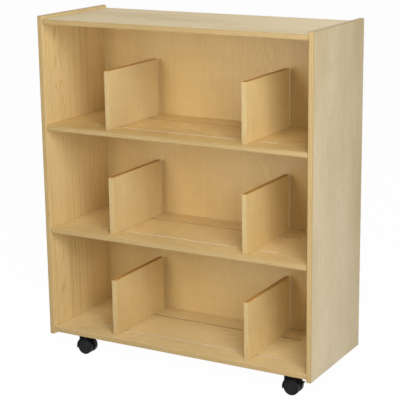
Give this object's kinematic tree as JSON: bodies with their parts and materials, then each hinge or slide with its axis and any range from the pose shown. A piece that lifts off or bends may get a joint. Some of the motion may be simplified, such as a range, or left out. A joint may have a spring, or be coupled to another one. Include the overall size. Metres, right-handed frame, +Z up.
{
  "type": "book cart",
  "caption": "Wooden mobile book cart with an open front, slotted shelves that carry sliding dividers, and swivelling twin-wheel casters.",
  "frame": {"origin": "on the floor, under the middle of the cart", "axes": "+X to the right of someone facing the open front, +Y to the back, +Z up"},
  "size_m": [0.914, 0.354, 1.0669],
  "materials": {
    "birch_side": "clear satin lacquer on birch plywood, grain upright",
    "birch_board": "clear satin lacquer on birch plywood",
    "birch_back": "clear satin lacquer on thin birch plywood, grain upright",
    "zinc_steel": "zinc plated",
    "black_nylon": "satin moulded",
    "black_tread": "satin moulded with a matt tread"
  },
  "bodies": {
    "cabinet": {"back_panel": "birch_back", "bottom_shelf": "birch_board", "caster_front_left_plate": "zinc_steel", "caster_front_right_plate": "zinc_steel", "caster_rear_left_plate": "zinc_steel", "caster_rear_right_plate": "zinc_steel", "left_side_panel": "birch_side", "lower_shelf": "birch_board", "right_side_panel": "birch_side", "side_screw_left_bottom_front": "zinc_steel", "side_screw_left_bottom_rear": "zinc_steel", "side_screw_left_top_front": "zinc_steel", "side_screw_left_top_rear": "zinc_steel", "side_screw_right_bottom_front": "zinc_steel", "side_screw_right_bottom_rear": "zinc_steel", "side_screw_right_top_front": "zinc_steel", "side_screw_right_top_rear": "zinc_steel", "top_panel": "birch_board", "upper_shelf": "birch_board"},
    "divider_upper_left": {"divider_upper_left": "birch_board", "guide_screw_upper_left_front": "zinc_steel", "guide_screw_upper_left_rear": "zinc_steel"},
    "divider_upper_right": {"divider_upper_right": "birch_board", "guide_screw_upper_right_front": "zinc_steel", "guide_screw_upper_right_rear": "zinc_steel"},
    "divider_lower_left": {"divider_lower_left": "birch_board", "guide_screw_lower_left_front": "zinc_steel", "guide_screw_lower_left_rear": "zinc_steel"},
    "divider_lower_right": {"divider_lower_right": "birch_board", "guide_screw_lower_right_front": "zinc_steel", "guide_screw_lower_right_rear": "zinc_steel"},
    "divider_bottom_left": {"divider_bottom_left": "birch_board", "guide_screw_bottom_left_front": "zinc_steel", "guide_screw_bottom_left_rear": "zinc_steel"},
    "divider_bottom_right": {"divider_bottom_right": "birch_board", "guide_screw_bottom_right_front": "zinc_steel", "guide_screw_bottom_right_rear": "zinc_steel"},
    "caster_front_left": {"caster_front_left_hood": "black_nylon", "caster_front_left_axle": "zinc_steel"},
    "caster_front_left_wheel_front": {"caster_front_left_wheel_front": "black_tread"},
    "caster_front_left_wheel_rear": {"caster_front_left_wheel_rear": "black_tread"},
    "caster_front_right": {"caster_front_right_hood": "black_nylon", "caster_front_right_axle": "zinc_steel"},
    "caster_front_right_wheel_front": {"caster_front_right_wheel_front": "black_tread"},
    "caster_front_right_wheel_rear": {"caster_front_right_wheel_rear": "black_tread"},
    "caster_front_right_brake_lever": {"caster_front_right_brake_lever": "black_nylon"},
    "caster_rear_left": {"caster_rear_left_hood": "black_nylon", "caster_rear_left_axle": "zinc_steel"},
    "caster_rear_left_wheel_front": {"caster_rear_left_wheel_front": "black_tread"},
    "caster_rear_left_wheel_rear": {"caster_rear_left_wheel_rear": "black_tread"},
    "caster_rear_left_brake_lever": {"caster_rear_left_brake_lever": "black_nylon"},
    "caster_rear_right": {"caster_rear_right_hood": "black_nylon", "caster_rear_right_axle": "zinc_steel"},
    "caster_rear_right_wheel_front": {"caster_rear_right_wheel_front": "black_tread"},
    "caster_rear_right_wheel_rear": {"caster_rear_right_wheel_rear": "black_tread"}
  },
  "joints": [
    {"name": "divider_upper_left_slide", "type": "slide", "parent": "cabinet", "child": "divider_upper_left", "axis": [1, 0, 0], "range_m": [-0.074, 0.222]},
    {"name": "divider_upper_right_slide", "type": "slide", "parent": "cabinet", "child": "divider_upper_right", "axis": [1, 0, 0], "range_m": [-0.216, 0.079]},
    {"name": "divider_lower_left_slide", "type": "slide", "parent": "cabinet", "child": "divider_lower_left", "axis": [1, 0, 0], "range_m": [-0.078, 0.217]},
    {"name": "divider_lower_right_slide", "type": "slide", "parent": "cabinet", "child": "divider_lower_right", "axis": [1, 0, 0], "range_m": [-0.216, 0.079]},
    {"name": "divider_bottom_left_slide", "type": "slide", "parent": "cabinet", "child": "divider_bottom_left", "axis": [1, 0, 0], "range_m": [-0.079, 0.217]},
    {"name": "divider_bottom_right_slide", "type": "slide", "parent": "cabinet", "child": "divider_bottom_right", "axis": [1, 0, 0], "range_m": [-0.221, 0.075]},
    {"name": "caster_front_left_swivel", "type": "hinge", "parent": "cabinet", "child": "caster_front_left", "pos_m": [-0.3618, -0.1398, 0.05], "axis": [0, 0, 1], "continuous": true},
    {"name": "caster_front_left_wheel_front_spin", "type": "hinge", "parent": "caster_front_left", "child": "caster_front_left_wheel_front", "pos_m": [-0.3388, -0.1398, 0.0245], "axis": [0, 1, 0], "continuous": true},
    {"name": "caster_front_left_wheel_rear_spin", "type": "hinge", "parent": "caster_front_left", "child": "caster_front_left_wheel_rear", "pos_m": [-0.3388, -0.1398, 0.0245], "axis": [0, 1, 0], "continuous": true},
    {"name": "caster_front_right_swivel", "type": "hinge", "parent": "cabinet", "child": "caster_front_right", "pos_m": [0.3618, -0.1398, 0.05], "axis": [0, 0, 1], "continuous": true},
    {"name": "caster_front_right_wheel_front_spin", "type": "hinge", "parent": "caster_front_right", "child": "caster_front_right_wheel_front", "pos_m": [0.3848, -0.1398, 0.0245], "axis": [0, 1, 0], "continuous": true},
    {"name": "caster_front_right_wheel_rear_spin", "type": "hinge", "parent": "caster_front_right", "child": "caster_front_right_wheel_rear", "pos_m": [0.3848, -0.1398, 0.0245], "axis": [0, 1, 0], "continuous": true},
    {"name": "caster_front_right_brake_press", "type": "hinge", "parent": "caster_front_right", "child": "caster_front_right_brake_lever", "pos_m": [0.3974, -0.1398, 0.04922], "axis": [0, 1, 0], "range_deg": [0, 10]},
    {"name": "caster_rear_left_swivel", "type": "hinge", "parent": "cabinet", "child": "caster_rear_left", "pos_m": [-0.3618, 0.1398, 0.05], "axis": [0, 0, 1], "continuous": true},
    {"name": "caster_rear_left_wheel_front_spin", "type": "hinge", "parent": "caster_rear_left", "child": "caster_rear_left_wheel_front", "pos_m": [-0.3388, 0.1398, 0.0245], "axis": [0, 1, 0], "continuous": true},
    {"name": "caster_rear_left_wheel_rear_spin", "type": "hinge", "parent": "caster_rear_left", "child": "caster_rear_left_wheel_rear", "pos_m": [-0.3388, 0.1398, 0.0245], "axis": [0, 1, 0], "continuous": true},
    {"name": "caster_rear_left_brake_press", "type": "hinge", "parent": "caster_rear_left", "child": "caster_rear_left_brake_lever", "pos_m": [-0.3262, 0.1398, 0.04922], "axis": [0, 1, 0], "range_deg": [0, 10]},
    {"name": "caster_rear_right_swivel", "type": "hinge", "parent": "cabinet", "child": "caster_rear_right", "pos_m": [0.3618, 0.1398, 0.05], "axis": [0, 0, 1], "continuous": true},
    {"name": "caster_rear_right_wheel_front_spin", "type": "hinge", "parent": "caster_rear_right", "child": "caster_rear_right_wheel_front", "pos_m": [0.3848, 0.1398, 0.0245], "axis": [0, 1, 0], "continuous": true},
    {"name": "caster_rear_right_wheel_rear_spin", "type": "hinge", "parent": "caster_rear_right", "child": "caster_rear_right_wheel_rear", "pos_m": [0.3848, 0.1398, 0.0245], "axis": [0, 1, 0], "continuous": true}
  ]
}
